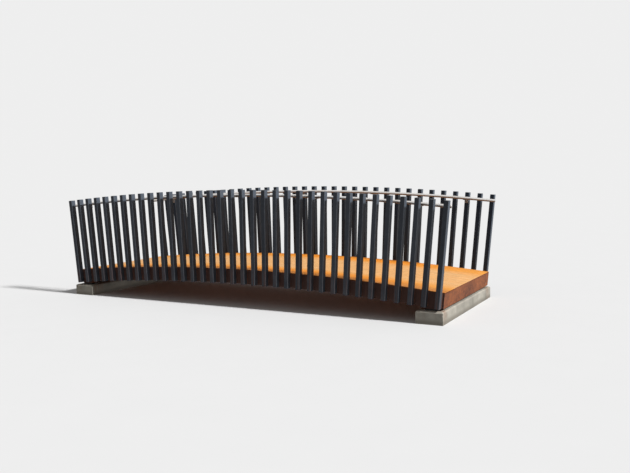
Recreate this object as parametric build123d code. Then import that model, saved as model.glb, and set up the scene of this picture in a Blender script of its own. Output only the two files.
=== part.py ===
"""Arched footbridge: a curved steel deck on two edge girders, with a row of radial posts and a handrail on
each side, standing on two low concrete sills. Millimetres, +X along the bridge, +Y across it, +Z up, with the
origin at ground level under the middle of the span."""

from build123d import *
from math import asin, cos, degrees, sin, sqrt
import os

# Arch and railing layout
arc_radius = 31460.0
post_pitch = 177.0
posts_per_panel = 5
panels_per_side = 7
end_overhang = 60.0
clear_width = 2000.0

# Posts: rectangular tube, wider across the bridge than along it, closed by a cap and open at the foot
post_width = 60.0
post_depth = 80.0
post_wall = 4.0
post_corner_radius = 6.0
post_height = 1115.0

# Deck and edge girders: a plate on two inward-facing channels, each with a stiffener over its bearings
structure_depth = 200.0
deck_thickness = 10.0
girder_web = 10.0
girder_flange = 12.0
girder_flange_width = 85.0
end_plate_thickness = 12.0
stiffener_thickness = 10.0
stiffener_cope_radius = 20.0

# Cross beams: welded tees coped round the girders' top flanges
posts_per_cross_beam = 4
cross_beams_each_way = 4
cross_beam_depth = 140.0
cross_beam_web = 10.0
cross_beam_flange = 10.0
cross_beam_flange_width = 80.0
cope_clearance = 3.0

# Deck ribs: flat bars that run through keyhole slots in the cross beams
rib_spacing = 400.0
rib_count = 4
rib_depth = 80.0
rib_thickness = 8.0
slot_clearance = 1.5
keyhole_radius = 12.0

# Handrail: one curved tube a side. One end runs past the last post's centre and the other stops short of it.
rail_diameter = 42.4
rail_wall = 2.6
rail_height = 1037.0
rail_offset = 99.0
rail_overhang = 72.0
rail_stop_short = 10.0

# Rail brackets: bent flat bars on some of the posts, counted from the middle one
bracket_posts = (-15, -7, 0, 7, 15)
bracket_width = 50.0
bracket_thickness = 8.0
bracket_leg = 56.0
bracket_nose = 16.0
bracket_bend_radius = 4.0
rail_seat_depth = 2.0

# Bearings and sills: a bearing stands in the middle of its sill, whose outer face lines up with the deck's end
sole_plate_length = 180.0
sole_plate_thickness = 22.0
anchor_ear_width = 70.0
anchor_ear_thickness = 12.0
anchor_hole_diameter = 18.0
anchor_hole_spacing = 110.0
pad_length = 160.0
pad_width = 75.0
pad_thickness = 20.0
sill_width = 350.0
sill_height = 160.0
sill_chamfer = 15.0

# Derived positions
side = clear_width / 2
web_inner_face = side - girder_web
flange_tip = side - girder_flange_width
posts_each_way = (posts_per_panel * panels_per_side - 1) // 2
deck_half_arc = posts_each_way * post_pitch + end_overhang
deck_end_angle = deck_half_arc / arc_radius
rail_start_angle = -(posts_each_way * post_pitch - rail_stop_short) / arc_radius
rail_end_angle = (posts_each_way * post_pitch + rail_overhang) / arc_radius
rail_radius = rail_diameter / 2
deck_underside = arc_radius - deck_thickness
girder_bottom = arc_radius - structure_depth
top_flange_bottom = deck_underside - girder_flange
bottom_flange_top = girder_bottom + girder_flange
bearing_x = arc_radius * sin(deck_end_angle) - sill_width / 2
bearing_top = sill_height + pad_thickness + sole_plate_thickness
arc_centre_z = bearing_top - sqrt(girder_bottom**2 - bearing_x**2)


def on_arc(along, across=0.0):
    """Place on the deck's top: x runs along the arc, y across the bridge and z radially outward."""
    angle = along / arc_radius
    point = (arc_radius * sin(angle), across, arc_centre_z + arc_radius * cos(angle))
    return Location(point, (0, degrees(angle), 0))


def arc_band(outer, inner, first_y, last_y, setback=0.0):
    """Solid between two radii and two planes of y, ended square to the deck, short of its end by the setback."""

    def corner(radius, direction):
        angle = direction * (deck_end_angle - asin(setback / radius))
        return (radius * sin(angle), arc_centre_z + radius * cos(angle))

    outer_arc = ThreePointArc(corner(outer, -1), (0, arc_centre_z + outer), corner(outer, 1))
    inner_arc = ThreePointArc(corner(inner, 1), (0, arc_centre_z + inner), corner(inner, -1))
    ends = [Line(outer_arc @ 1, inner_arc @ 0), Line(inner_arc @ 1, outer_arc @ 0)]
    profile = make_face(Curve() + [outer_arc, inner_arc, *ends])
    plane = Plane(origin=(0, last_y, 0), x_dir=(1, 0, 0), z_dir=(0, -1, 0))
    return extrude(plane * profile, last_y - first_y)


def deck_plate():
    return arc_band(arc_radius, deck_underside, -side, side)


def edge_girder():
    """Channel on the far side: its web is flush with the deck's edge and its flanges point inward."""
    web = arc_band(deck_underside, girder_bottom, web_inner_face, side, end_plate_thickness)
    top = arc_band(deck_underside, top_flange_bottom, flange_tip, side, end_plate_thickness)
    bottom = arc_band(bottom_flange_top, girder_bottom, flange_tip, side, end_plate_thickness)
    return web + top + bottom + bearing_stiffener(-1) + bearing_stiffener(1)


def bearing_stiffener(direction):
    """Plate across the far channel above its bearing, with both corners at the web coped."""
    profile = Pos((flange_tip + web_inner_face) / 2, -structure_depth / 2)
    profile *= Rectangle(web_inner_face - flange_tip, structure_depth)
    for radius in (top_flange_bottom, bottom_flange_top):
        profile -= Pos(web_inner_face, radius - arc_radius) * Circle(stiffener_cope_radius)
    plate = extrude(Plane.YZ * profile, stiffener_thickness / 2, both=True)
    place = on_arc(direction * arc_radius * asin(bearing_x / girder_bottom))
    return (place * plate) & arc_band(top_flange_bottom, bottom_flange_top, flange_tip, web_inner_face)


def end_plate(direction):
    """Closing plate under the deck's end, flush with the girders' outer faces and undersides."""
    middle = Location((-direction * end_plate_thickness / 2, 0, -structure_depth / 2))
    blank = middle * Box(end_plate_thickness, clear_width, 2 * structure_depth)
    section = arc_band(deck_underside, girder_bottom, -side, side)
    return (on_arc(direction * deck_half_arc) * blank) & section


def rib_positions():
    return [(index - (rib_count - 1) / 2) * rib_spacing for index in range(rib_count)]


def deck_ribs():
    bottom = deck_underside - rib_depth
    half = rib_thickness / 2
    return [arc_band(deck_underside, bottom, y - half, y + half, end_plate_thickness) for y in rib_positions()]


def cross_beam(along):
    """Tee with keyhole slots for the ribs, butted between the girder webs and trimmed to the deck's underside."""
    cope_y = flange_tip - cope_clearance
    cope_z = -deck_thickness - girder_flange - cope_clearance
    web_bottom = -deck_thickness - cross_beam_depth
    right = [(cope_y, 0), (cope_y, cope_z), (web_inner_face, cope_z), (web_inner_face, web_bottom)]
    left = [(-y, z) for y, z in reversed(right)]
    profile = make_face(Polyline(*right, *left, close=True))
    slot_bottom = -deck_thickness - rib_depth
    slot_width = rib_thickness + 2 * slot_clearance
    for y in rib_positions():
        profile -= Pos(y, slot_bottom / 2) * Rectangle(slot_width, -slot_bottom)
        profile -= Pos(y, slot_bottom) * Circle(keyhole_radius)
    web = extrude(Plane.YZ * profile, cross_beam_web / 2, both=True)
    flange_size = (cross_beam_flange_width, 2 * web_inner_face, cross_beam_flange)
    flange = Pos(0, 0, web_bottom - cross_beam_flange / 2) * Box(*flange_size)
    under_deck = arc_band(deck_underside, girder_bottom, -side, side)
    return (on_arc(along) * (web + flange)) & under_deck


def post(index):
    """One post on the far side, standing square to the arc against the girder's outer face."""
    length = structure_depth + post_height
    inner_radius = post_corner_radius - post_wall
    outside = RectangleRounded(post_width, post_depth, post_corner_radius)
    inside = RectangleRounded(post_width - 2 * post_wall, post_depth - 2 * post_wall, inner_radius)
    tube = extrude(outside, length) - extrude(inside, length - post_wall)
    return on_arc(index * post_pitch, side + post_depth / 2) * Pos(0, 0, -structure_depth) * tube


def rail_bar(radius, first_angle, last_angle):
    """Round bar on the far side, bent to the handrail's arc, between two angles of the arc."""
    centre = (0, side - rail_offset, arc_centre_z + arc_radius + rail_height)
    section = Plane(origin=centre, x_dir=(0, 1, 0), z_dir=(1, 0, 0)) * Circle(radius)
    axis = Axis((0, 0, arc_centre_z), (0, 1, 0))
    return revolve(section.rotate(axis, degrees(first_angle)), axis, degrees(last_angle - first_angle))


def handrail():
    """Tube on the far side, closed at both ends."""
    cap_angle = rail_wall / (arc_radius + rail_height)
    bore = rail_bar(rail_radius - rail_wall, rail_start_angle + cap_angle, rail_end_angle - cap_angle)
    return rail_bar(rail_radius, rail_start_angle, rail_end_angle) - bore


def rail_bracket(index):
    """Bent flat bar on a far post: a leg down the post's inner face and one out under the rail, with a groove."""
    top = rail_height - rail_radius + rail_seat_depth
    tip = -rail_offset - bracket_nose
    bottom = top - bracket_leg
    step = top - bracket_thickness
    points = [(0, bottom), (0, top), (tip, top), (tip, step), (-bracket_thickness, step), (-bracket_thickness, bottom)]
    outer_bend = bracket_bend_radius + bracket_thickness
    radii = [0, outer_bend, 0, 0, bracket_bend_radius, 0]
    profile = make_face(FilletPolyline(*points, radius=radii, close=True))
    legs = extrude(Plane.YZ * profile, bracket_width / 2, both=True)
    angle = index * post_pitch / arc_radius
    reach = bracket_width / arc_radius
    return (on_arc(index * post_pitch, side) * legs) - rail_bar(rail_radius, angle - reach, angle + reach)


def sole_plate(direction):
    """Wedge under the far girder's flange, level below, with an ear inboard for two anchor bolts."""
    base = Pos(direction * bearing_x, flange_tip, sill_height + pad_thickness)
    wedge_height = 2 * sole_plate_thickness
    wedge = Box(sole_plate_length, girder_flange_width, wedge_height)
    ear = Box(sole_plate_length, anchor_ear_width, anchor_ear_thickness)
    plate = Pos(0, girder_flange_width / 2, wedge_height / 2) * wedge
    plate += Pos(0, -anchor_ear_width / 2, anchor_ear_thickness / 2) * ear
    for x in (-anchor_hole_spacing / 2, anchor_hole_spacing / 2):
        plate -= Pos(x, -anchor_ear_width / 2) * Cylinder(anchor_hole_diameter / 2, wedge_height)
    return (base * plate) - arc_band(deck_underside, girder_bottom, 0, side)


def bearing_pad(direction):
    middle = (direction * bearing_x, side - girder_flange_width / 2, sill_height + pad_thickness / 2)
    return Pos(*middle) * Box(pad_length, pad_width, pad_thickness)


def sill(direction):
    """Concrete bank seat, as long as the bridge is wide over its posts."""
    length = clear_width + 2 * post_depth
    block = Pos(direction * bearing_x, 0, sill_height / 2) * Box(sill_width, length, sill_height)
    return chamfer(block.faces().sort_by(Axis.Z)[-1].edges(), sill_chamfer)


def far_and_near(name, *pieces):
    """Node on the far side of the walkway and its mirror image on the near side."""
    write_node("far_" + name, *pieces)
    write_node("near_" + name, *(mirror(piece, about=Plane.XZ) for piece in pieces))


def write_node(name, *pieces):
    solids = [solid for piece in pieces for solid in piece.solids()]
    export_step(Compound(solids), f"parts/{name}.step")


os.makedirs("parts", exist_ok=True)

write_node("deck_plate", deck_plate())
write_node("deck_ribs", *deck_ribs())
for number in range(2 * cross_beams_each_way + 1):
    beam_post = (number - cross_beams_each_way) * posts_per_cross_beam
    write_node(f"cross_beam_{number + 1}", cross_beam(beam_post * post_pitch))
far_and_near("edge_girder", edge_girder())

for panel in range(panels_per_side):
    first = panel * posts_per_panel - posts_each_way
    far_and_near(f"posts_{panel + 1}", *(post(index) for index in range(first, first + posts_per_panel)))

far_and_near("rail_brackets", *(rail_bracket(index) for index in bracket_posts))
write_node("far_handrail", handrail())
write_node("near_handrail", Rot(0, 0, 180) * handrail())

for end, direction in (("left", -1), ("right", 1)):
    write_node(f"{end}_end_plate", end_plate(direction))
    write_node(f"{end}_sill", sill(direction))
    far_and_near(f"{end}_sole_plate", sole_plate(direction))
    far_and_near(f"{end}_bearing_pad", bearing_pad(direction))
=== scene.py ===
"""Looks of the arched footbridge, in metres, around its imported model: procedural finishes for every node,
welds, screws, anchor bolts, handrail tubes and cast sills as added pieces, the stage, the light and the
camera at the photograph's angle."""

from math import asin, cos, floor, pi, radians, sin
from random import Random

import bmesh
import bpy
from mathutils import Matrix, Vector, noise


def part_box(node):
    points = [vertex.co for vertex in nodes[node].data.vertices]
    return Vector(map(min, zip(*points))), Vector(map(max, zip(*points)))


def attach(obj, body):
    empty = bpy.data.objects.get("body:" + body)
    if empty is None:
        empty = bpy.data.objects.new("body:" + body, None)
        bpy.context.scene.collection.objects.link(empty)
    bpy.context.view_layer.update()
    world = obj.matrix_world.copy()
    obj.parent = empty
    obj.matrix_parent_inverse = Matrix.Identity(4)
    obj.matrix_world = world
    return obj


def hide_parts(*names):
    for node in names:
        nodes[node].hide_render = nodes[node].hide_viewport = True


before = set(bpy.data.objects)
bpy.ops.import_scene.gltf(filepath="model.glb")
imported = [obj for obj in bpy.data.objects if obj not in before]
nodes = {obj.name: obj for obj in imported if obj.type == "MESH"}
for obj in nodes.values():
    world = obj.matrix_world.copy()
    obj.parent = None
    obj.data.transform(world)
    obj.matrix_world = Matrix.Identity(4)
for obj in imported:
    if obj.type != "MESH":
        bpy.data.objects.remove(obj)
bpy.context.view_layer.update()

# Arch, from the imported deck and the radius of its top
ARC_RADIUS = 31.460
_, deck_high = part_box("deck_plate")
CROWN_Z = deck_high.z
SIDE = deck_high.y
ARC_CENTRE_Z = CROWN_Z - ARC_RADIUS
DECK_END = ARC_RADIUS * asin(deck_high.x / ARC_RADIUS)

# Steelwork, as in the model
POST_PITCH = 0.177
POSTS_EACH_WAY = 17
POST_WIDTH = 0.060
POST_DEPTH = 0.080
POST_TOP = 1.115
STRUCTURE_DEPTH = 0.200
DECK_THICKNESS = 0.010
GIRDER_WEB = 0.010
GIRDER_FLANGE = 0.012
GIRDER_FLANGE_WIDTH = 0.085
END_PLATE_THICKNESS = 0.012
POSTS_PER_CROSS_BEAM = 4
CROSS_BEAMS_EACH_WAY = 4
CROSS_BEAM_DEPTH = 0.140
CROSS_BEAM_WEB = 0.010
RIB_PLACES = (-0.6, -0.2, 0.2, 0.6)
RIB_THICKNESS = 0.008
RAIL_RADIUS = 0.0212
RAIL_HEIGHT = 1.037
RAIL_OFFSET = 0.099
RAIL_LONG_END = 0.072
BRACKET_POSTS = (-15, -7, 0, 7, 15)
BRACKET_THICKNESS = 0.008
RAIL_SEAT_DEPTH = 0.002
PAD_THICKNESS = 0.020
ANCHOR_EAR_WIDTH = 0.070
ANCHOR_EAR_THICKNESS = 0.012
ANCHOR_HOLE_SPACING = 0.110
SIDES = {"far": 1, "near": -1}
ENDS = {"left": -1, "right": 1}

# Steelwork, where the scene goes beyond the model: plate edges, and the rails' rims and short ends
EDGE_RADIUS = 0.0009
EDGE_SEGMENTS = 2
ROUNDED_FROM_ANGLE = radians(40)
FLAT_WITHIN_ANGLE = radians(0.1)
MERGED_WITHIN = 1e-5
SMOOTH_WITHIN_ANGLE = radians(38)
RAIL_SHORT_END = 0.013
RAIL_END_RADIUS = 0.0005
RAIL_STEPS = 72
RAIL_SIDES = 64

# Weld beads: legs of the fillets, the butt seam along the deck's edge, ripples, and where beads stop short
POST_LEG = 0.0068
FOOT_LEG = 0.0055
FRAME_LEG = 0.006
RIB_LEG = 0.005
SEAM_WIDTH = 0.0075
SEAM_PROUD = 0.0016
ROOT_DEPTH = 0.0008
RIPPLE = 0.007
RIPPLE_LAG = 0.35 * RIPPLE
RIPPLE_TROUGH = 0.84
RIPPLE_UNEVENNESS = (0.93, 1.07)
BEAD_END_SWELL = 0.55
STITCH = 0.085
STITCH_SPACING = 0.170
BEAD_STOP = 0.004
POST_BEAD_STOP = 0.002
POST_CORNER = 0.005
SEAM_STOP = 0.007
SHORTEST_BEAD = 0.001
RIB_BEAD_STOP = 0.020
COPE_GAP = 0.003
KEYHOLE_GAP = 0.0035
WEB_BEAD_START = 0.008
WEB_BEAD_STOP = 0.002

# Sections of the beads. A fillet's entries are the turn from its first wall in steps of 60 degrees, the reach
# in legs and the share of the lag. A seam's are the place across it in widths and the share of its height.
FILLET_SECTION = ((0.0, 1.0, 0.0), (0.5, 0.84, 1.0), (1.0, 0.84, 1.0), (1.5, 1.0, 0.0))
SEAM_SECTION = ((0.5, 0.0), (0.2, 0.9), (-0.2, 0.9), (-0.5, 0.0))
SEAM_ROOT_SHARE = 0.4

# Fasteners: profiles of radius, height and, where a form has flats, their number
BUTTON_HEAD = (
    (0.0072, -0.0006), (0.0072, 0.0008), (0.0066, 0.0026), (0.0050, 0.0040), (0.0036, 0.0044),
    (0.0029, 0.0044, 6), (0.0028, 0.0016, 6), (0.0004, 0.0012),
)
WASHER = ((0.0090, 0.0), (0.0150, 0.0), (0.0150, 0.0028), (0.0085, 0.0030))
NUT = (
    (0.0085, 0.0030), (0.0118, 0.0030), (0.0136, 0.0042, 6), (0.0136, 0.0146, 6),
    (0.0118, 0.0158), (0.0085, 0.0158),
)
STUD_RADIUS = 0.008
STUD_BELOW_PAD = 0.010
STUD_TIP_SHARE = 0.7
STUD_TIP_RISE = 0.0025
THREAD_BOTTOM = 0.0150
THREAD_PITCH = 0.002
THREAD_TURNS = 5
THREAD_ROOT_SHARE = 0.88
LEG_SCREW_OFFSET = 0.014
LEG_SCREW_DROP = 0.034

# Cast sills: chamfer, boards of the formwork, and how far waves, boards and chips lower a face
CHAMFER = 0.015
BOARD_WIDTH = 0.11
SILL_CELL = 0.009
WAVE_DEPTH = 0.0008
BOARD_DEPTH = 0.0009
CHIP_REACH = 0.006
CHIP_FREE_FOOT = 0.03
CHIP_THRESHOLD = 0.32
CHIP_STRENGTH = 0.014
DEEPEST_CHIP = 0.006
LEVEL_FOOT = 0.001
CAST_SMOOTH_ANGLE = radians(30)

# Bearings: their middle across the bridge, and the layers of their rubber
BEARING_ACROSS = 0.955
RUBBER_LAYER = 0.005

# Camera, placed from the crown of the deck on the walkway's centre line
CAMERA_FROM_CROWN = Vector((5.741, -9.095, 1.295))
CAMERA_YAW = -0.5019
CAMERA_PITCH = -0.0867
CAMERA_ROLL = -0.0204
FOCAL_PIXELS = 705.2
PHOTO_WIDTH = 630

# Light: a pale world and one soft lamp from beyond the right end of the bridge
WORLD_STRENGTH = 0.25
LAMP_STRENGTH = 4.15
LAMP_SOFTNESS = radians(6)
LAMP_ELEVATION = radians(40)
LAMP_TURN = radians(-2)
FLOOR_TONE = 0.78
FLOOR_BOUNCE = 0.50
FILL_FROM_BELOW = 0.8
FLOOR_HALF = 120.0
FADE_START = 9.0
FADE_END = 30.0
BACKGROUND = FLOOR_TONE * (WORLD_STRENGTH + LAMP_STRENGTH * sin(LAMP_ELEVATION) / pi)


def make_camera():
    data = bpy.data.cameras.new("camera")
    data.sensor_width = 36.0
    data.lens = FOCAL_PIXELS / PHOTO_WIDTH * data.sensor_width
    data.clip_end = 300.0
    camera = bpy.data.objects.new("camera", data)
    forward = Vector((
        sin(CAMERA_YAW) * cos(CAMERA_PITCH),
        cos(CAMERA_YAW) * cos(CAMERA_PITCH),
        sin(CAMERA_PITCH),
    ))
    level_right = Vector((cos(CAMERA_YAW), -sin(CAMERA_YAW), 0.0))
    level_up = level_right.cross(forward)
    right = cos(CAMERA_ROLL) * level_right + sin(CAMERA_ROLL) * level_up
    up = cos(CAMERA_ROLL) * level_up - sin(CAMERA_ROLL) * level_right
    turn = Matrix((right, up, -forward)).transposed().to_4x4()
    place = Vector((0.0, 0.0, CROWN_Z)) + CAMERA_FROM_CROWN
    camera.matrix_world = Matrix.Translation(place) @ turn
    bpy.context.scene.collection.objects.link(camera)
    bpy.context.scene.camera = camera


# Places on the arch
def on_arc(along, across=0.0, lift=0.0):
    """Point at a distance along the arc of the deck's top, across the bridge and radially above it."""
    angle = along / ARC_RADIUS
    reach = ARC_RADIUS + lift
    return Vector((reach * sin(angle), across, ARC_CENTRE_Z + reach * cos(angle)))


def arc_turn(along):
    """Turn whose x runs along the arc, y across the bridge and z radially outward."""
    return Matrix.Rotation(along / ARC_RADIUS, 3, "Y")


def arc_frame(along, across=0.0, lift=0.0):
    return Matrix.Translation(on_arc(along, across, lift)) @ arc_turn(along).to_4x4()


def post_places():
    return [index * POST_PITCH for index in range(-POSTS_EACH_WAY, POSTS_EACH_WAY + 1)]


# Node graphs
def grey(level):
    return (level, level, level, 1.0)


def srgb(red, green, blue):
    def linear(value):
        share = value / 255
        return share / 12.92 if share <= 0.04045 else ((share + 0.055) / 1.055) ** 2.4
    return (linear(red), linear(green), linear(blue), 1.0)


class Finish:
    """Procedural material of one kind of surface, with short calls for the nodes it is made of."""

    def __init__(self, name, specular=0.5, metallic=0.0):
        self.material = bpy.data.materials.new(name)
        self.material.use_nodes = True
        self.tree = self.material.node_tree
        self.shader = self.tree.nodes["Principled BSDF"]
        self.shader.inputs["Specular IOR Level"].default_value = specular
        self.shader.inputs["Metallic"].default_value = metallic
        self.place = self.node("ShaderNodeTexCoord").outputs["Object"]
        x, self.across, z = self.node("ShaderNodeSeparateXYZ", self.place).outputs
        drop = self.math("SUBTRACT", z, ARC_CENTRE_Z)
        radius = self.math("SQRT", self.math("MULTIPLY_ADD", x, x, self.math("MULTIPLY", drop, drop)))
        self.height = z
        self.along = self.math("MULTIPLY", self.math("ARCTAN2", x, drop), ARC_RADIUS)
        self.lift = self.math("SUBTRACT", radius, ARC_RADIUS)
        self.off_centre = self.math("ABSOLUTE", self.across)
        self.arc = self.node("ShaderNodeCombineXYZ", self.along, self.across, self.lift).outputs[0]

    def feed(self, socket, value):
        if isinstance(value, bpy.types.NodeSocket):
            self.tree.links.new(value, socket)
        else:
            socket.default_value = value

    def node(self, kind, *values, **settings):
        made = self.tree.nodes.new(kind)
        for name, value in settings.items():
            setattr(made, name, value)
        for socket, value in zip(made.inputs, values):
            self.feed(socket, value)
        return made

    def math(self, operation, *values, clamp=False):
        return self.node("ShaderNodeMath", *values, operation=operation, use_clamp=clamp).outputs[0]

    def scaled(self, place, x, y, z):
        return self.node("ShaderNodeVectorMath", place, (x, y, z), operation="MULTIPLY").outputs[0]

    def noise(self, place, scale, detail=4.0, roughness=0.55, shift=0.0):
        """Noise from 0 to 1. A shift gives a different pattern at the same scale."""
        moved = self.node("ShaderNodeVectorMath", place, (shift, shift, shift), operation="ADD").outputs[0]
        made = self.node("ShaderNodeTexNoise")
        self.feed(made.inputs["Vector"], moved)
        for name, value in (("Scale", scale), ("Detail", detail), ("Roughness", roughness)):
            self.feed(made.inputs[name], value)
        return made.outputs["Fac"]

    def cells(self, place, scale):
        """Distance from the middle of the nearest of many irregular cells."""
        made = self.node("ShaderNodeTexVoronoi")
        self.feed(made.inputs["Vector"], place)
        self.feed(made.inputs["Scale"], scale)
        return made.outputs["Distance"]

    def ease(self, value, low, high, start=0.0, end=1.0):
        """Smooth step of a value from low to high, between start and end."""
        made = self.node("ShaderNodeMapRange", value, low, high, start, end, interpolation_type="SMOOTHSTEP")
        return made.outputs[0]

    def both(self, *shares):
        """Product of shares."""
        product = shares[0]
        for share in shares[1:]:
            product = self.math("MULTIPLY", product, share)
        return product

    def mix(self, share, first, second, blend="MIX"):
        made = self.node("ShaderNodeMix", data_type="RGBA", blend_type=blend)
        factor, first_socket, second_socket = (made.inputs[index] for index in (0, 6, 7))
        for socket, value in ((factor, share), (first_socket, first), (second_socket, second)):
            self.feed(socket, value)
        return made.outputs[2]

    def ramp(self, value, *stops):
        """Colours by a value, from stops of place and colour in rising order."""
        made = self.node("ShaderNodeValToRGB", value)
        elements = made.color_ramp.elements
        elements[0].position, elements[0].color = stops[0]
        elements[-1].position, elements[-1].color = stops[-1]
        for place, colour in stops[1:-1]:
            elements.new(place).color = colour
        return made.outputs["Color"]

    def shade(self, colour, value, low, high):
        """Colour made darker and lighter between two strengths by a value from 0 to 1."""
        strength = self.node("ShaderNodeMapRange", value, 0.25, 0.75, low, high).outputs[0]
        return self.mix(1.0, colour, strength, "MULTIPLY")

    def relief(self, *layers):
        """Bumps from pairs of height socket and depth in metres."""
        normal = None
        for height, depth in layers:
            made = self.node("ShaderNodeBump")
            self.feed(made.inputs["Distance"], depth)
            self.feed(made.inputs["Height"], height)
            if normal is not None:
                self.feed(made.inputs["Normal"], normal)
            normal = made.outputs[0]
        self.feed(self.shader.inputs["Normal"], normal)

    def finish(self, colour, roughness):
        self.feed(self.shader.inputs["Base Color"], colour)
        self.feed(self.shader.inputs["Roughness"], roughness)
        return self.material

    def beside_post(self):
        """Distance along the arc from the nearest post's centre, and that post's number."""
        number = self.math("ROUND", self.math("DIVIDE", self.along, POST_PITCH))
        apart = self.math("ABSOLUTE", self.math("MULTIPLY_ADD", number, -POST_PITCH, self.along))
        return apart, number

    def patina(self, dark, middle, bright):
        """Rust of weathering steel: clouds, blotches and pitted grain, with faint runs down its faces."""
        cloud = self.noise(self.place, 2.4, 4.0)
        blotch = self.noise(self.place, 26.0, 8.0, 0.68)
        grain = self.noise(self.place, 230.0, 6.0, 0.74)
        value = self.math("MULTIPLY_ADD", cloud, 0.34, self.math("MULTIPLY", blotch, 0.38))
        value = self.math("MULTIPLY_ADD", grain, 0.28, value)
        colour = self.ramp(value, (0.40, dark), (0.50, middle), (0.62, bright))
        runs = self.noise(self.scaled(self.arc, 34.0, 34.0, 2.0), 1.0, 5.0, 0.6)
        colour = self.shade(colour, runs, 0.88, 1.10)
        specks = self.noise(self.place, 560.0, 2.0)
        colour = self.mix(self.ease(specks, 0.62, 0.74, 0.0, 0.6), colour, bright)
        self.relief((blotch, 0.0010), (grain, 0.0009))
        return colour, self.math("MULTIPLY_ADD", grain, 0.30, 0.62)


# Colours
SAND = srgb(230, 174, 114)
PALE_SAND = srgb(234, 186, 133)
ORANGE = srgb(236, 162, 77)
VIVID_ORANGE = srgb(241, 147, 45)
DEEP_ORANGE = srgb(196, 112, 54)
# Darker orange towards the deck's near edge
NEAR_EDGE_DARK_ORANGE = srgb(182, 118, 62)
BURNT = srgb(122, 64, 38)
EDGE_RED = srgb(92, 40, 26)
MAROON = srgb(74, 56, 53)
FASCIA_BROWN = srgb(94, 67, 59)
RUST_DARK = srgb(86, 54, 42)
RUST_MIDDLE = srgb(130, 79, 54)
RUST_BRIGHT = srgb(174, 106, 64)
COAT = srgb(69, 73, 80)
# Painted shade on the posts' faces toward the walkway
COAT_PAINTED_SHADE = srgb(29, 42, 58)
# Dust, and painted highlight on the caps and corners
COAT_DUST_AND_HIGHLIGHT = srgb(100, 99, 99)
# Painted light on the posts' flanks
COAT_PAINTED_FLANK_LIGHT = srgb(90, 100, 112)
STEEL_PALE = srgb(236, 234, 232)
STEEL_DEEP = srgb(214, 209, 203)
# Brown stain and painted shade on the rails' undersides
STEEL_STAIN_AND_SHADE = srgb(118, 106, 98)
WELD_DARK = srgb(58, 40, 34)
WELD_MIDDLE = srgb(88, 56, 44)
WELD_BRIGHT = srgb(136, 82, 52)
RUBBER = srgb(30, 30, 31)
RUBBER_CHALKED = srgb(84, 80, 74)
ZINC = srgb(168, 170, 172)
ZINC_TARNISHED = srgb(120, 96, 78)
CONCRETE_DARK = srgb(132, 128, 119)
CONCRETE = srgb(166, 161, 150)
CONCRETE_PALE = srgb(190, 185, 173)
CONCRETE_DAMP = srgb(92, 86, 76)
CONCRETE_PIT = srgb(84, 80, 74)
RUST_WASH = srgb(140, 92, 58)

# Scales of the brushing: along the bridge, across it and up, in scratches a metre
BRUSHED_ALONG = (2.0, 600.0, 600.0)
BRUSHED_UP = (600.0, 600.0, 4.0)


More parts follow.
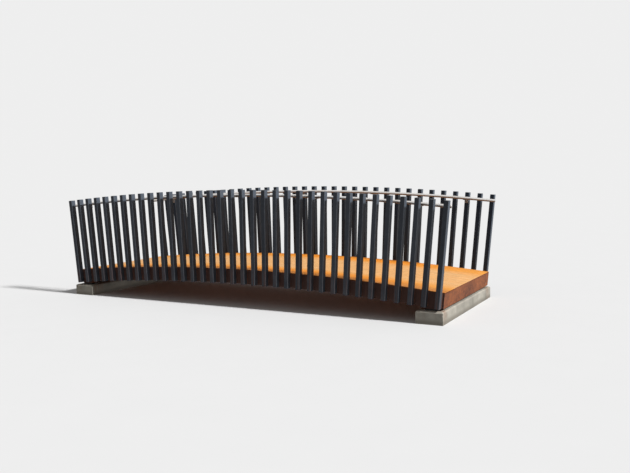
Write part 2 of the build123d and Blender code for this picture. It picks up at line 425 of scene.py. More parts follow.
def deck_finish():
    """Walked plate: sandy along the middle, deeper orange along both edges, darker towards the near edge,
    dark red on its rim.
    """
    deck = Finish("deck_rust", specular=0.12)
    drift = deck.noise(deck.scaled(deck.arc, 1.3, 4.0, 1.0), 1.0, 4.0)
    edge = deck.math("MULTIPLY_ADD", drift, 0.24, deck.math("SUBTRACT", deck.off_centre, 0.12))
    walked = deck.ease(edge, 0.36, 0.74, 1.0, 0.0)
    colour = deck.mix(walked, ORANGE, SAND)
    to_end = deck.ease(deck.math("ABSOLUTE", deck.along), 1.9, 3.0)
    past_left = deck.ease(deck.along, -1.2, 0.6, 0.5, 1.0)
    vivid = deck.both(deck.math("MULTIPLY_ADD", to_end, -0.85, 1.0), past_left)
    colour = deck.mix(deck.both(deck.ease(edge, 0.52, 0.80), vivid), colour, VIVID_ORANGE)
    # Darker towards the near edge
    toward_near = deck.math("MULTIPLY_ADD", drift, 0.30, deck.math("MULTIPLY", deck.across, -1.0))
    near_edge_darkening = deck.ease(toward_near, 0.78, 1.10)
    colour = deck.mix(deck.both(near_edge_darkening, 0.75), colour, NEAR_EDGE_DARK_ORANGE)

    streaks = deck.noise(deck.scaled(deck.arc, 1.1, 34.0, 1.0), 1.0, 5.0, 0.6)
    colour = deck.mix(deck.ease(streaks, 0.50, 0.74, 0.0, 0.55), colour, ORANGE)
    paths = deck.noise(deck.scaled(deck.arc, 0.7, 13.0, 1.0), 1.0, 3.0, 0.5, 7.0)
    trodden = deck.ease(paths, 0.42, 0.66, 0.0, 0.75)
    dust = deck.both(walked, trodden, deck.math("ADD", to_end, 0.45, clamp=True))
    colour = deck.mix(dust, colour, PALE_SAND)

    mottle = deck.noise(deck.place, 11.0, 8.0, 0.66)
    colour = deck.shade(colour, mottle, 0.84, 1.14)
    grain = deck.noise(deck.place, 190.0, 8.0, 0.76)
    colour = deck.shade(colour, grain, 0.82, 1.17)
    scabs = deck.noise(deck.place, 46.0, 8.0, 0.72, 3.0)
    scab_share = deck.math("MULTIPLY_ADD", walked, -0.22, 0.50)
    colour = deck.mix(deck.both(deck.ease(scabs, 0.56, 0.62), scab_share), colour, DEEP_ORANGE)
    flakes = deck.noise(deck.place, 75.0, 6.0, 0.7, 9.0)
    colour = deck.mix(deck.ease(flakes, 0.60, 0.66, 0.0, 0.35), colour, PALE_SAND)
    pits = deck.noise(deck.place, 430.0, 3.0, 0.6)
    colour = deck.mix(deck.ease(pits, 0.63, 0.68, 0.0, 0.7), colour, BURNT)

    apart, _ = deck.beside_post()
    at_edge = deck.ease(deck.off_centre, SIDE - 0.05, SIDE)
    at_foot = deck.both(deck.ease(apart, POST_WIDTH / 2, POST_WIDTH, 1.0, 0.0), at_edge)
    wet = deck.ease(deck.math("MULTIPLY_ADD", mottle, 0.03, deck.off_centre), SIDE - 0.004, SIDE + 0.020)
    stain = deck.math("MAXIMUM", deck.both(at_foot, 0.6), deck.both(wet, 0.6))
    colour = deck.mix(stain, colour, BURNT)

    rim = deck.ease(deck.lift, -0.0014, -0.0005, 1.0, 0.0)
    colour = deck.mix(rim, colour, deck.shade(EDGE_RED, grain, 0.75, 1.3))
    below = deck.ease(deck.lift, -0.0099, -0.0094, 1.0, 0.0)
    soffit, _ = deck.patina(RUST_DARK, RUST_MIDDLE, RUST_BRIGHT)
    colour = deck.mix(below, colour, soffit)
    # This relief takes the place of the patina's
    deck.relief((mottle, 0.0010), (scabs, 0.0008), (grain, 0.0012))
    return deck.finish(colour, deck.math("MULTIPLY_ADD", grain, 0.3, 0.60))


def weathering_finish():
    """Girders and underside: brown patina, darkest and most streaked on the outer faces."""
    steel = Finish("weathering_rust", specular=0.2)
    colour, rough = steel.patina(RUST_DARK, RUST_MIDDLE, RUST_BRIGHT)
    runs = steel.noise(steel.scaled(steel.arc, 55.0, 1.0, 1.6), 1.0, 4.0, 0.6, 5.0)
    fascia = steel.ease(steel.off_centre, SIDE - 0.004, SIDE - 0.001)
    grimy = steel.mix(steel.ease(runs, 0.45, 0.75), MAROON, FASCIA_BROWN)
    colour = steel.mix(steel.both(fascia, 0.9), colour, grimy)
    drip = steel.both(fascia, steel.ease(steel.lift, -0.075, -0.010), steel.ease(runs, 0.50, 0.72, 0.0, 0.5))
    colour = steel.mix(drip, colour, BURNT)
    return steel.finish(colour, rough)


def weld_finish():
    """Weld beads: the same patina, darker than the plates."""
    weld = Finish("weld_rust", specular=0.3)
    colour, rough = weld.patina(WELD_DARK, WELD_MIDDLE, WELD_BRIGHT)
    return weld.finish(colour, rough)


def coat_finish():
    """Near-black coat on the posts: satin, with dust, faint runs, worn corners and a little bleeding rust,
    plus painted highlights on flanks, caps and corners and painted shade on the inner faces.
    """
    coat = Finish("dark_coat", specular=0.08)
    apart, number = coat.beside_post()
    key = coat.math("MULTIPLY_ADD", coat.math("SIGN", coat.across), 40.0, number)
    tone = coat.node("ShaderNodeTexWhiteNoise", noise_dimensions="1D")
    coat.feed(tone.inputs["W"], key)
    colour = coat.shade(COAT, tone.outputs["Value"], 0.86, 1.10)

    blotch = coat.noise(coat.place, 9.0, 6.0, 0.6)
    colour = coat.shade(colour, blotch, 0.84, 1.18)
    mottle = coat.noise(coat.scaled(coat.arc, 70.0, 70.0, 28.0), 1.0, 6.0, 0.7)
    colour = coat.shade(colour, mottle, 0.86, 1.16)
    runs = coat.noise(coat.scaled(coat.arc, 120.0, 120.0, 1.5), 1.0, 4.0, 0.6)
    high = coat.ease(coat.lift, 0.35, POST_TOP)
    splash = coat.ease(coat.lift, 0.02, 0.22, 1.0, 0.0)
    dust = coat.both(coat.ease(runs, 0.52, 0.78), coat.math("MULTIPLY_ADD", high, 0.14, 0.08))
    dust = coat.math("MULTIPLY_ADD", coat.both(splash, coat.ease(blotch, 0.40, 0.70)), 0.16, dust)
    # Dust and painted highlight: the caps' top faces are lightened, as where light catches them from above
    cap = coat.ease(coat.lift, POST_TOP - 0.0014, POST_TOP - 0.0005)
    dust_and_highlight_on_cap = coat.both(cap, coat.ease(blotch, 0.30, 0.70, 0.35, 0.65))
    colour = coat.mix(coat.math("MAXIMUM", dust, dust_and_highlight_on_cap), colour, COAT_DUST_AND_HIGHLIGHT)
    # Painted highlight: the posts' flanks are lighter and cooler, most of all near the top, where light falls
    # past the next post
    flank = coat.ease(apart, POST_WIDTH / 2 - 0.0026, POST_WIDTH / 2 - 0.0014)
    faded = coat.both(flank, coat.ease(coat.lift, POST_TOP - 0.26, POST_TOP - 0.09, 0.25, 0.55))
    colour = coat.mix(faded, colour, COAT_PAINTED_FLANK_LIGHT)

    fleck = coat.noise(coat.place, 90.0, 5.0, 0.7)
    corner = coat.ease(apart, POST_WIDTH / 2 - 0.0065, POST_WIDTH / 2 - 0.003)
    end_face = coat.math("ABSOLUTE", coat.math("SUBTRACT", coat.off_centre, SIDE + POST_DEPTH / 2))
    corner = coat.both(corner, coat.ease(end_face, POST_DEPTH / 2 - 0.0065, POST_DEPTH / 2 - 0.003))
    # Worn corners, and also a painted highlight: the rounded corners are lightened, as where light catches
    # them
    colour = coat.mix(coat.both(corner, coat.ease(fleck, 0.35, 0.65, 0.10, 0.45)), colour, COAT_DUST_AND_HIGHLIGHT)
    chips = coat.both(coat.math("MAXIMUM", corner, 0.05), coat.ease(fleck, 0.69, 0.72))
    bleed = coat.both(coat.ease(coat.lift, -0.005, 0.03, 1.0, 0.0), coat.ease(runs, 0.50, 0.70, 0.0, 0.5))
    colour = coat.mix(coat.math("MAXIMUM", chips, bleed), colour, RUST_MIDDLE)

    # Painted shade: the faces toward the walkway are darker and bluer than the coat elsewhere
    inner_face_shade = coat.ease(coat.off_centre, SIDE + 0.001, SIDE + 0.006, 0.75, 0.0)
    colour = coat.mix(inner_face_shade, colour, COAT_PAINTED_SHADE)

    cap_joint = coat.math("ABSOLUTE", coat.math("SUBTRACT", coat.lift, POST_TOP - 0.004))
    cap_joint = coat.ease(cap_joint, 0.0004, 0.0012)
    peel = coat.noise(coat.place, 700.0, 2.0)
    coat.relief((cap_joint, 0.0004), (blotch, 0.0003), (peel, 0.00006))
    return coat.finish(colour, coat.math("MULTIPLY_ADD", blotch, 0.22, 0.42))


def rail_finish(name, brushing):
    """Brushed stainless steel: scratched one way, paler and deeper in patches, brown-stained and in painted
    shade underneath.
    """
    rail = Finish(name, metallic=0.85)
    brush = rail.noise(rail.scaled(rail.arc, *brushing), 1.0, 3.0, 0.7)
    blotch = rail.noise(rail.scaled(rail.arc, 3.0, 14.0, 14.0), 1.0, 6.0, 0.6)
    marks = rail.noise(rail.place, 38.0, 5.0, 0.65)
    colour = rail.mix(rail.ease(blotch, 0.35, 0.70), STEEL_PALE, STEEL_DEEP)
    colour = rail.shade(colour, brush, 0.90, 1.06)
    # Brown stain and painted shade: the tube turns darker below its middle
    above = rail.math("MULTIPLY_ADD", marks, 0.008, rail.math("SUBTRACT", rail.lift, RAIL_HEIGHT + 0.004))
    colour = rail.mix(rail.ease(above, -0.012, 0.012, 1.0, 0.0), colour, STEEL_STAIN_AND_SHADE)
    rough = rail.math("MULTIPLY_ADD", brush, 0.14, rail.math("MULTIPLY_ADD", marks, 0.16, 0.30))
    rail.relief((brush, 0.00005), (marks, 0.00006))
    return rail.finish(colour, rough)


def rubber_finish():
    """Bearing pads: black layered rubber, chalky in patches."""
    rubber = Finish("bearing_rubber", specular=0.3)
    fine = rubber.noise(rubber.place, 420.0, 3.0)
    chalk = rubber.noise(rubber.place, 26.0, 6.0, 0.65)
    colour = rubber.mix(rubber.ease(chalk, 0.45, 0.72, 0.0, 0.6), RUBBER, RUBBER_CHALKED)
    layer = rubber.math("SINE", rubber.math("MULTIPLY", rubber.height, 2 * pi / RUBBER_LAYER))
    rubber.relief((layer, 0.0003), (fine, 0.0002))
    return rubber.finish(colour, rubber.math("MULTIPLY_ADD", chalk, 0.2, 0.6))


def zinc_finish():
    """Galvanised anchor bolts: spangled grey, tarnished in patches."""
    zinc = Finish("anchor_zinc", metallic=1.0)
    spangle = zinc.cells(zinc.place, 240.0)
    tarnish = zinc.noise(zinc.place, 60.0, 5.0, 0.65)
    colour = zinc.mix(zinc.ease(tarnish, 0.45, 0.70), ZINC, ZINC_TARNISHED)
    colour = zinc.shade(colour, spangle, 0.85, 1.05)
    zinc.relief((tarnish, 0.0002))
    return zinc.finish(colour, zinc.math("MULTIPLY_ADD", tarnish, 0.35, 0.35))


def concrete_finish():
    """Board-cast concrete: damp and dark low down, pitted, with rust washed down from the bearings."""
    cast = Finish("cast_concrete", specular=0.3)
    cloud = cast.noise(cast.place, 3.2, 7.0, 0.62)
    colour = cast.ramp(cloud, (0.30, CONCRETE_DARK), (0.52, CONCRETE), (0.72, CONCRETE_PALE))
    grit = cast.noise(cast.place, 300.0, 4.0, 0.7)
    colour = cast.shade(colour, grit, 0.90, 1.07)
    damp = cast.ease(cast.math("MULTIPLY_ADD", cloud, -0.09, cast.height), -0.03, 0.035, 0.55, 0.0)
    colour = cast.mix(damp, colour, CONCRETE_DAMP)
    runs = cast.noise(cast.scaled(cast.place, 30.0, 30.0, 2.0), 1.0, 5.0, 0.62)
    from_bearing = cast.math("ABSOLUTE", cast.math("SUBTRACT", cast.off_centre, BEARING_ACROSS))
    under = cast.ease(from_bearing, 0.05, 0.16, 1.0, 0.0)
    rust = cast.both(under, cast.ease(runs, 0.40, 0.66), cast.ease(cast.height, 0.0, 0.15, 0.15, 0.6))
    colour = cast.mix(rust, colour, RUST_WASH)
    pits = cast.ease(cast.cells(cast.place, 62.0), 0.05, 0.17)
    pitted = cast.ease(cast.noise(cast.place, 14.0, 2.0, 0.5, 2.0), 0.52, 0.60)
    holes = cast.math("MULTIPLY", cast.math("SUBTRACT", 1.0, pits), pitted)
    colour = cast.mix(cast.both(holes, 0.6), colour, CONCRETE_PIT)
    cast.relief((cloud, 0.0015), (pits, 0.0012), (grit, 0.0006))
    return cast.finish(colour, cast.math("MULTIPLY_ADD", grit, 0.15, 0.78))


def stage_finish():
    """Pale floor that fades into the background far from the bridge. It hides nothing seen from below, and it
    lets part of the surroundings' light up to the underside."""
    stage = Finish("pale_floor", specular=0.0)
    path = stage.node("ShaderNodeLightPath").outputs
    seen = stage.math("MAXIMUM", path["Is Glossy Ray"], path["Is Transmission Ray"])
    seen = stage.math("MAXIMUM", path["Is Camera Ray"], seen)
    fine = stage.noise(stage.place, 2.0, 3.0)
    tone = stage.shade(grey(FLOOR_TONE), fine, 0.995, 1.005)
    stage.finish(stage.mix(seen, grey(FLOOR_BOUNCE), tone), 0.9)
    away = stage.node("ShaderNodeVectorMath", stage.place, operation="LENGTH").outputs["Value"]
    far_share = stage.both(stage.ease(away, FADE_START, FADE_END), seen)
    glow = stage.node("ShaderNodeEmission", grey(BACKGROUND), 1.0)
    faded = stage.node("ShaderNodeMixShader", far_share, stage.shader.outputs[0], glow.outputs[0])
    clear = stage.node("ShaderNodeBsdfTransparent")
    behind = stage.node("ShaderNodeNewGeometry").outputs["Backfacing"]
    fill_share = stage.math("MULTIPLY_ADD", seen, -FILL_FROM_BELOW, FILL_FROM_BELOW)
    open_share = stage.math("MAXIMUM", behind, fill_share)
    whole = stage.node("ShaderNodeMixShader", open_share, faded.outputs[0], clear.outputs[0])
    stage.feed(stage.tree.nodes["Material Output"].inputs["Surface"], whole.outputs[0])
    return stage.material


# Meshes
class Casting:
    """Closed skins collected into one mesh piece."""

    def __init__(self):
        self.points = []
        self.faces = []

    def sweep(self, rings):
        """Skin over a row of closed rings of equally many points, capped at both ends."""
        first, count = len(self.points), len(rings[0])
        for ring in rings:
            self.points.extend(ring)
        for step in range(len(rings) - 1):
            base = first + step * count
            for side in range(count):
                turn = (side + 1) % count
                self.faces.append((base + side, base + turn, base + count + turn, base + count + side))
        last = first + (len(rings) - 1) * count
        self.faces.append(tuple(range(first + count - 1, first - 1, -1)))
        self.faces.append(tuple(range(last, last + count)))

    def turned(self, place, profile, segments=24):
        """Lathe form about the local z of a place, with flats where its profile asks for them."""
        rings = []
        for radius, height, *flats in profile:
            ring = []
            for step in range(segments):
                angle = 2 * pi * step / segments
                reach = radius
                if flats:
                    slice_angle = 2 * pi / flats[0]
                    reach = radius * cos(slice_angle / 2) / cos(angle % slice_angle - slice_angle / 2)
                ring.append(place @ Vector((reach * cos(angle), reach * sin(angle), height)))
            rings.append(ring)
        self.sweep(rings)

    def piece(self, name, material):
        mesh = bpy.data.meshes.new(name)
        mesh.from_pydata([tuple(point) for point in self.points], [], self.faces)
        form = bmesh.new()
        form.from_mesh(mesh)
        bmesh.ops.recalc_face_normals(form, faces=form.faces)
        form.to_mesh(mesh)
        form.free()
        return add_piece(mesh, material, SMOOTH_WITHIN_ANGLE)


def add_piece(mesh, material, smooth_angle):
    """Piece of the bridge from a mesh, named after it and smooth over edges flatter than an angle."""
    mesh.shade_smooth()
    mesh.set_sharp_from_angle(angle=smooth_angle)
    mesh.materials.append(material)
    made = bpy.data.objects.new(mesh.name, mesh)
    bpy.context.scene.collection.objects.link(made)
    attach(made, "root")
    return made


dice = Random(31)


def ripples(length):
    """Steps of a weld bead: distance from its start, swell and lag of its crown, thin at both ends."""
    count = max(4, 2 * round(length / RIPPLE))
    for step in range(count + 1):
        swell = (1.0 if step % 2 else RIPPLE_TROUGH) * dice.uniform(*RIPPLE_UNEVENNESS)
        if step in (0, count):
            swell *= BEAD_END_SWELL
        yield length * step / count, swell, RIPPLE_LAG * (step % 2)


def fillet(casting, place, length, first_wall, second_wall, leg):
    """Fillet bead in a corner. place(distance) gives the corner's points, and both walls run away from it."""
    heading = (place(length) - place(0.0)).normalized()
    rings = []
    for distance, swell, lag in ripples(length):
        corner = place(distance)
        ring = [corner - (first_wall + second_wall) * ROOT_DEPTH]
        for turn, reach, drag in FILLET_SECTION:
            angle = turn * pi / 3
            out = first_wall * cos(angle) + second_wall * sin(angle)
            ring.append(corner + out * leg * swell * reach - heading * lag * drag)
        rings.append(ring)
    casting.sweep(rings)


def seam(casting, place, length, across_seam, outward):
    """Butt bead over a joint in a flat face."""
    heading = (place(length) - place(0.0)).normalized()
    rings = []
    for distance, swell, lag in ripples(length):
        middle = place(distance)
        root = middle - outward * ROOT_DEPTH
        root_edge = across_seam * SEAM_WIDTH * SEAM_ROOT_SHARE
        ring = [root - root_edge, root + root_edge]
        for share, height in SEAM_SECTION:
            point = middle + across_seam * SEAM_WIDTH * share * swell + outward * SEAM_PROUD * height * swell
            ring.append(point - heading * lag * height)
        rings.append(ring)
    casting.sweep(rings)


def run_along(start, across, lift):
    """Corner line that follows the arc from a start."""
    return lambda distance: on_arc(start + distance, across, lift)


def run_up(along, across, bottom):
    return lambda distance: on_arc(along, across, bottom + distance)


def run_across(along, start, lift):
    return lambda distance: on_arc(along, start + distance, lift)


def make_post_welds(side_name, direction, material):
    """Fillets up each post's flanks and along its foot on the deck, and the deck's seam between posts."""
    welds = Casting()
    outward = Vector((0, direction, 0))
    foot = -STRUCTURE_DEPTH + BEAD_STOP
    for along in post_places():
        turn = arc_turn(along)
        ahead, up = turn @ Vector((1, 0, 0)), turn @ Vector((0, 0, 1))
        for flank in (-1, 1):
            line = run_up(along + flank * POST_WIDTH / 2, direction * SIDE, foot)
            fillet(welds, line, -foot - POST_BEAD_STOP, ahead * flank, outward, POST_LEG)
        line = run_along(along - POST_WIDTH / 2 + POST_CORNER, direction * SIDE, 0.0)
        fillet(welds, line, POST_WIDTH - 2 * POST_CORNER, -outward, up, FOOT_LEG)
    gap = POST_PITCH - POST_WIDTH - 2 * SEAM_STOP
    for along in post_places()[:-1]:
        line = run_along(along + (POST_PITCH - gap) / 2, direction * SIDE, -DECK_THICKNESS)
        up = arc_turn(along + POST_PITCH / 2) @ Vector((0, 0, 1))
        seam(welds, line, gap, up, outward)
    welds.piece(side_name + "_post_welds", material)


def make_girder_welds(side_name, direction, material):
    """Long fillets inside the channel, and between its top flange's tip and the deck."""
    welds = Casting()
    inward = Vector((0, -direction, 0))
    web = direction * (SIDE - GIRDER_WEB)
    tip = direction * (SIDE - GIRDER_FLANGE_WIDTH)
    start = -DECK_END + END_PLATE_THICKNESS
    step = POST_PITCH * 2
    corners = (
        (web, -DECK_THICKNESS - GIRDER_FLANGE, inward, -1),
        (web, -STRUCTURE_DEPTH + GIRDER_FLANGE, inward, 1),
        (tip, -DECK_THICKNESS, inward, -1),
    )
    for across, lift, wall, rise in corners:
        along = start
        while along < -start - SHORTEST_BEAD:
            length = min(step, -start - along)
            up = arc_turn(along + length / 2) @ Vector((0, 0, rise))
            fillet(welds, run_along(along, across, lift), length, wall, up, FRAME_LEG)
            along += length
    welds.piece(side_name + "_girder_welds", material)


def make_rib_welds(material):
    """Stitched fillets along both faces of the deck ribs."""
    welds = Casting()
    limit = DECK_END - END_PLATE_THICKNESS - RIB_BEAD_STOP
    for rib in RIB_PLACES:
        for face in (-1, 1):
            across = rib + face * RIB_THICKNESS / 2
            along = -limit + (0.0 if face > 0 else STITCH)
            while along + STITCH < limit:
                up = arc_turn(along) @ Vector((0, 0, -1))
                line = run_along(along, across, -DECK_THICKNESS)
                fillet(welds, line, STITCH, Vector((0, face, 0)), up, RIB_LEG)
                along += STITCH_SPACING
    welds.piece("rib_welds", material)


def bays_between_ribs(limit, clear):
    """First and last places across the bridge between the ribs and two outer limits, clear of each rib."""
    stops = [-limit, *(rib + edge for rib in RIB_PLACES for edge in (-clear, clear)), limit]
    return list(zip(stops[0::2], stops[1::2]))


def make_cross_beam_welds(material):
    """Fillets from each cross beam's web to the deck, the girders and its own flange."""
    reach = SIDE - GIRDER_WEB
    flange_top = -DECK_THICKNESS - CROSS_BEAM_DEPTH
    web_top = -DECK_THICKNESS - GIRDER_FLANGE - COPE_GAP
    web_bottom = flange_top + WEB_BEAD_START
    bays = bays_between_ribs(SIDE - GIRDER_FLANGE_WIDTH - COPE_GAP, RIB_THICKNESS / 2 + KEYHOLE_GAP)
    for number in range(-CROSS_BEAMS_EACH_WAY, CROSS_BEAMS_EACH_WAY + 1):
        welds = Casting()
        centre = number * POSTS_PER_CROSS_BEAM * POST_PITCH
        turn = arc_turn(centre)
        up = turn @ Vector((0, 0, 1))
        for face in (-1, 1):
            along = centre + face * CROSS_BEAM_WEB / 2
            away = turn @ Vector((face, 0, 0))
            for first, last in bays:
                line = run_across(along, first, -DECK_THICKNESS)
                fillet(welds, line, last - first, away, -up, FRAME_LEG)
            fillet(welds, run_across(along, -reach, flange_top), 2 * reach, away, up, FRAME_LEG)
            for end in (-1, 1):
                inward = Vector((0, -end, 0))
                line = run_up(along, end * reach, web_bottom)
                fillet(welds, line, web_top - web_bottom - WEB_BEAD_STOP, away, inward, FRAME_LEG)
        welds.piece(f"cross_beam_{number + CROSS_BEAMS_EACH_WAY + 1}_welds", material)


def make_end_welds(material):
    """Fillets between each end plate and the deck."""
    welds = Casting()
    for direction in ENDS.values():
        along = direction * (DECK_END - END_PLATE_THICKNESS)
        turn = arc_turn(along)
        inward, up = turn @ Vector((-direction, 0, 0)), turn @ Vector((0, 0, 1))
        for first, last in bays_between_ribs(SIDE - GIRDER_FLANGE_WIDTH, RIB_THICKNESS / 2):
            line = run_across(along, first + BEAD_STOP, -DECK_THICKNESS)
            fillet(welds, line, last - first - 2 * BEAD_STOP, inward, -up, FRAME_LEG)
    welds.piece("end_plate_welds", material)


def make_handrail(side_name, side, material):
    """Handrail tube in place of the model's. One end runs well past the last post, the other just past it."""
    last_post = POSTS_EACH_WAY * POST_PITCH
    start = -last_post - (RAIL_SHORT_END if side > 0 else RAIL_LONG_END)
    end = last_post + (RAIL_LONG_END if side > 0 else RAIL_SHORT_END)
    first_full, last_full = start + RAIL_END_RADIUS, end - RAIL_END_RADIUS
    rim_radius = RAIL_RADIUS - RAIL_END_RADIUS
    stations = [(start, rim_radius)]
    for step in range(RAIL_STEPS + 1):
        stations.append((first_full + (last_full - first_full) * step / RAIL_STEPS, RAIL_RADIUS))
    stations.append((end, rim_radius))

    rings = []
    for along, radius in stations:
        middle, turn = on_arc(along, side * (SIDE - RAIL_OFFSET), RAIL_HEIGHT), arc_turn(along)
        ring = []
        for step in range(RAIL_SIDES):
            angle = 2 * pi * step / RAIL_SIDES
            ring.append(middle + turn @ Vector((0, radius * cos(angle), radius * sin(angle))))
        rings.append(ring)
    tube = Casting()
    tube.sweep(rings)
    made = tube.piece(side_name + "_rail_tube", material)
    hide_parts(side_name + "_handrail")


def make_rail_screws(material):
    """Two button screws through each bracket's leg into the post, and one from below into the rail."""
    screws = Casting()
    arm_top = RAIL_HEIGHT - RAIL_RADIUS + RAIL_SEAT_DEPTH
    for side in SIDES.values():
        to_walkway = Matrix.Rotation(side * pi / 2, 4, "X")
        for index in BRACKET_POSTS:
            along = index * POST_PITCH
            for offset in (-LEG_SCREW_OFFSET, LEG_SCREW_OFFSET):
                leg = arc_frame(along, side * (SIDE - BRACKET_THICKNESS), arm_top - LEG_SCREW_DROP)
                screws.turned(leg @ Matrix.Translation((offset, 0, 0)) @ to_walkway, BUTTON_HEAD)
            arm = arc_frame(along, side * (SIDE - RAIL_OFFSET), arm_top - BRACKET_THICKNESS)
            screws.turned(arm @ Matrix.Rotation(pi, 4, "X"), BUTTON_HEAD)
    screws.piece("rail_screws", material)


def stud_profile():
    """Stud from its foot below the pad to its tip above the nut, with the grooves of its visible thread."""
    foot = -ANCHOR_EAR_THICKNESS - PAD_THICKNESS - STUD_BELOW_PAD
    profile = [(STUD_RADIUS, foot), (STUD_RADIUS, THREAD_BOTTOM)]
    for turn in range(THREAD_TURNS):
        bottom = THREAD_BOTTOM + turn * THREAD_PITCH
        profile.append((STUD_RADIUS * THREAD_ROOT_SHARE, bottom + THREAD_PITCH / 4))
        profile.append((STUD_RADIUS, bottom + THREAD_PITCH * 3 / 4))
    tip = THREAD_BOTTOM + THREAD_TURNS * THREAD_PITCH + STUD_TIP_RISE
    profile.append((STUD_RADIUS * STUD_TIP_SHARE, tip))
    return profile


def make_anchor_bolts(material):
    """Stud, washer and hexagon nut in each hole of the sole plates' ears, with the thread showing above."""
    bolts = Casting()
    for end_name, end in ENDS.items():
        for side_name, side in SIDES.items():
            low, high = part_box(f"{side_name}_{end_name}_sole_plate")
            middle = (low.x + high.x) / 2
            across = side * (SIDE - GIRDER_FLANGE_WIDTH - ANCHOR_EAR_WIDTH / 2)
            ear_top = low.z + ANCHOR_EAR_THICKNESS
            for offset in (-ANCHOR_HOLE_SPACING / 2, ANCHOR_HOLE_SPACING / 2):
                place = Matrix.Translation((middle + offset, across, ear_top))
                place = place @ Matrix.Rotation(dice.uniform(0, pi / 3), 4, "Z")
                bolts.turned(place, WASHER, segments=32)
                bolts.turned(place, NUT, segments=36)
                bolts.turned(place, stud_profile(), segments=20)
    bolts.piece("anchor_bolts", material)


def cast_block(low, high):
    """Finely cut block between two corners, with chamfered top edges."""
    form = bmesh.new()
    bmesh.ops.create_cube(form, size=1.0)
    size, middle = high - low, (low + high) / 2
    for vertex in form.verts:
        vertex.co = Vector(vertex.co[axis] * size[axis] + middle[axis] for axis in range(3))
    top = [edge for edge in form.edges if all(vertex.co.z > middle.z for vertex in edge.verts)]
    bmesh.ops.bevel(form, geom=top, offset=CHAMFER, segments=1, affect="EDGES")
    for axis in range(3):
        normal = Vector([1.0 if other == axis else 0.0 for other in range(3)])
        count = floor(size[axis] / SILL_CELL)
        for step in range(1, count):
            point = Vector(low)
            point[axis] += size[axis] * step / count
            everything = form.verts[:] + form.edges[:] + form.faces[:]
            bmesh.ops.bisect_plane(form, geom=everything, plane_co=point, plane_no=normal)
    form.normal_update()
    return form


def cast_depth(spot, normal, low, high):
    """How far the cast face lies below the true one: boards, waves, and chips along its arrises."""
    depth = abs(noise.noise(spot * 7.0)) * WAVE_DEPTH
    if abs(normal.z) < 0.5:
        run = spot.y if abs(normal.x) > abs(normal.y) else spot.x
        plank = floor((run - low.y) / BOARD_WIDTH)
        board = Vector((plank + 0.5, 3.0 * round(normal.x), 5.0 * round(normal.y)))
        depth += BOARD_DEPTH * abs(noise.cell(board))
    margins = sorted(min(spot[axis] - low[axis], high[axis] - spot[axis]) for axis in range(3))
    if margins[1] < CHAMFER + CHIP_REACH and spot.z - low.z > CHIP_FREE_FOOT:
        crumble = noise.noise(spot * 55.0) + 0.4 * noise.noise(spot * 130.0)
        depth += max(0.0, crumble - CHIP_THRESHOLD) * CHIP_STRENGTH
    return min(depth, DEEPEST_CHIP)


def make_sill(end_name, material):
    """Cast bank seat: chamfered block with slightly uneven boards on its faces and chipped arrises."""
    low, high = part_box(f"{end_name}_sill")
    form = cast_block(low, high)
    moved = []
    for vertex in form.verts:
        place = vertex.co - vertex.normal * cast_depth(vertex.co, vertex.normal, low, high)
        if vertex.co.z - low.z < LEVEL_FOOT:
            place.z = low.z
        moved.append(place)
    for vertex, place in zip(form.verts, moved):
        vertex.co = place
    mesh = bpy.data.meshes.new(end_name + "_cast_sill")
    form.to_mesh(mesh)
    form.free()
    made = add_piece(mesh, material, CAST_SMOOTH_ANGLE)
    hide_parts(end_name + "_sill")


def soften_edges(node):
    """Rounds a node's plate edges a little, as cut and blasted plate has them."""
    weld = node.modifiers.new("weld", "WELD")
    weld.merge_threshold = MERGED_WITHIN
    flat = node.modifiers.new("flat_faces", "DECIMATE")
    flat.decimate_type = "DISSOLVE"
    flat.angle_limit = FLAT_WITHIN_ANGLE
    bevel = node.modifiers.new("bevel", "BEVEL")
    bevel.limit_method = "ANGLE"
    bevel.angle_limit = ROUNDED_FROM_ANGLE
    bevel.width = EDGE_RADIUS
    bevel.segments = EDGE_SEGMENTS
    node.modifiers.new("normals", "WEIGHTED_NORMAL")


NODE_FINISHES = {
    "deck_plate": "deck",
    "posts": "coat",
    "handrail": "rail",
    "rail_brackets": "bracket",
    "sill": "concrete",
    "bearing_pad": "rubber",
}


def dress_nodes(finishes):
    """Gives every node of the model the finish of the word in its name, or else the weathering one."""
    for name, node in nodes.items():
        kind = next((finish for word, finish in NODE_FINISHES.items() if word in name), "weathering")
        node.data.materials.clear()
        node.data.materials.append(finishes[kind])
        if kind in ("deck", "weathering", "bracket", "rubber"):
            soften_edges(node)


def make_stage():
    mesh = bpy.data.meshes.new("floor")
    corners = [(x * FLOOR_HALF, y * FLOOR_HALF, 0.0) for x, y in ((-1, -1), (1, -1), (1, 1), (-1, 1))]
    mesh.from_pydata(corners, [], [(0, 1, 2, 3)])
    mesh.materials.append(stage_finish())
    floor_piece = bpy.data.objects.new("floor", mesh)
    bpy.context.scene.collection.objects.link(floor_piece)


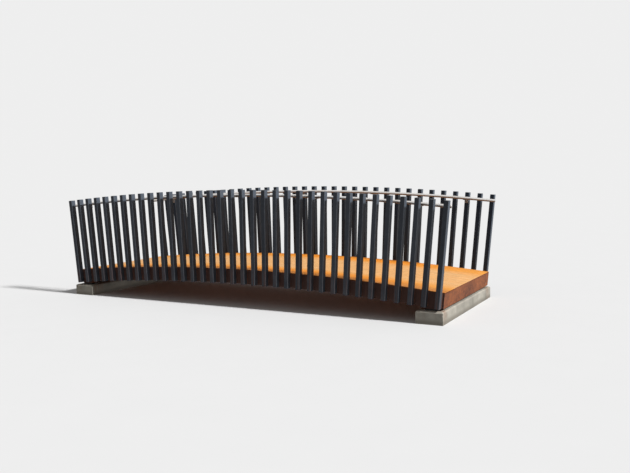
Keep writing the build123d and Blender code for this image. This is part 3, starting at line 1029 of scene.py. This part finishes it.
def make_world():
    """Pale surroundings: a plain level for the light, and the floor's own tone for what is seen of them."""
    world = bpy.data.worlds.new("surroundings")
    bpy.context.scene.world = world
    world.use_nodes = True
    tree = world.node_tree
    background = tree.nodes["Background"]
    background.inputs["Color"].default_value = grey(1.0)
    path = tree.nodes.new("ShaderNodeLightPath")
    shown = path.outputs["Is Camera Ray"]
    for ray in ("Is Glossy Ray", "Is Transmission Ray"):
        either = tree.nodes.new("ShaderNodeMath")
        either.operation = "MAXIMUM"
        tree.links.new(shown, either.inputs[0])
        tree.links.new(path.outputs[ray], either.inputs[1])
        shown = either.outputs[0]
    level = tree.nodes.new("ShaderNodeMapRange")
    tree.links.new(shown, level.inputs["Value"])
    level.inputs["To Min"].default_value = WORLD_STRENGTH
    level.inputs["To Max"].default_value = BACKGROUND
    tree.links.new(level.outputs[0], background.inputs["Strength"])


def make_lamp():
    """Soft lamp from beyond the bridge's right end, shining nearly along it."""
    data = bpy.data.lights.new("key", "SUN")
    data.energy = LAMP_STRENGTH
    data.angle = LAMP_SOFTNESS
    lamp = bpy.data.objects.new("key", data)
    toward = Vector((
        cos(LAMP_ELEVATION) * cos(LAMP_TURN),
        cos(LAMP_ELEVATION) * sin(LAMP_TURN),
        sin(LAMP_ELEVATION),
    ))
    lamp.rotation_euler = (-toward).to_track_quat("-Z", "Y").to_euler()
    bpy.context.scene.collection.objects.link(lamp)


finishes = {
    "deck": deck_finish(),
    "weathering": weathering_finish(),
    "weld": weld_finish(),
    "coat": coat_finish(),
    "rail": rail_finish("brushed_rail", BRUSHED_ALONG),
    "bracket": rail_finish("brushed_bracket", BRUSHED_UP),
    "rubber": rubber_finish(),
    "zinc": zinc_finish(),
    "concrete": concrete_finish(),
}
dress_nodes(finishes)

for side_name, direction in SIDES.items():
    make_post_welds(side_name, direction, finishes["weld"])
    make_girder_welds(side_name, direction, finishes["weld"])
    make_handrail(side_name, direction, finishes["rail"])
make_rib_welds(finishes["weld"])
make_cross_beam_welds(finishes["weld"])
make_end_welds(finishes["weld"])
make_rail_screws(finishes["rail"])
make_anchor_bolts(finishes["zinc"])
for end_name in ENDS:
    make_sill(end_name, finishes["concrete"])

make_stage()
make_world()
make_lamp()
make_camera()
bpy.context.scene.view_settings.view_transform = "Standard"
